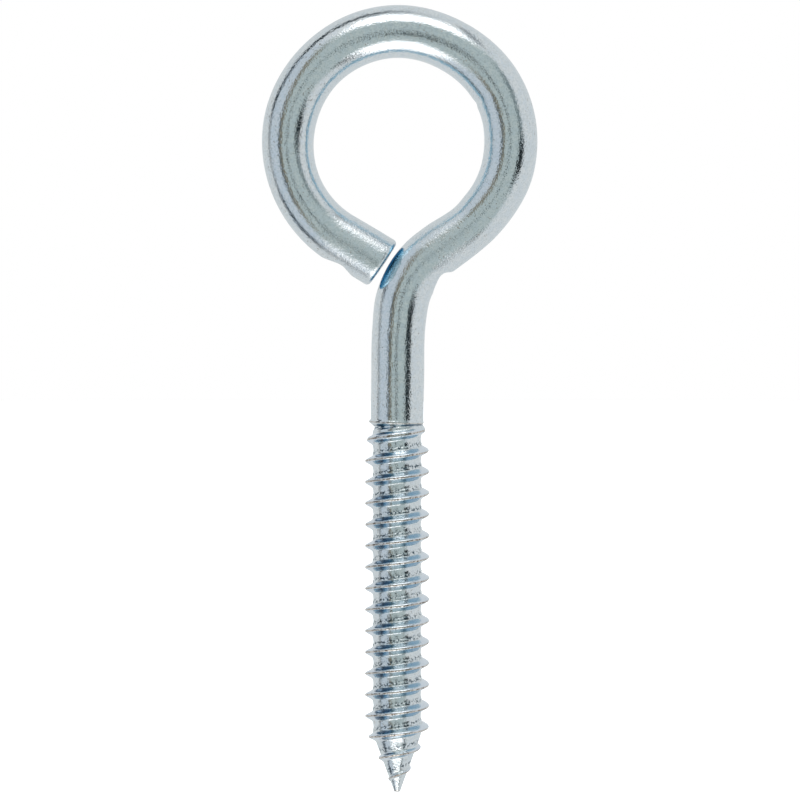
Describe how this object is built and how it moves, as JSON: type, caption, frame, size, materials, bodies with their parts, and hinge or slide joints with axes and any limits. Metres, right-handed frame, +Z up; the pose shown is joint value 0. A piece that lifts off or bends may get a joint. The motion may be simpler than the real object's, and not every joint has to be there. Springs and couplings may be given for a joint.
{
  "type": "lag thread eye bolt",
  "caption": "Screw-in eye bolt bent from round wire: an eye closed to a narrow gap, a plain shank and a coarse wood-screw thread with a gimlet point, for hanging loads from timber.",
  "frame": {"origin": "point on the shank axis where the thread ends and the plain shank begins, which is the timber's surface when the thread is driven home", "axes": "+Z up the shank to the eye; the eye lies in the XZ plane, so its hole runs along Y; the neck leans towards +X and the wire's cut end comes back from -X"},
  "size_m": [0.0548, 0.0128, 0.1564],
  "materials": {
    "zinc_plate": "bright blue-clear zinc plating on steel, semi-gloss with a fine mottled grain"
  },
  "bodies": {
    "root": {"screw_eye": "zinc_plate"}
  },
  "joints": []
}
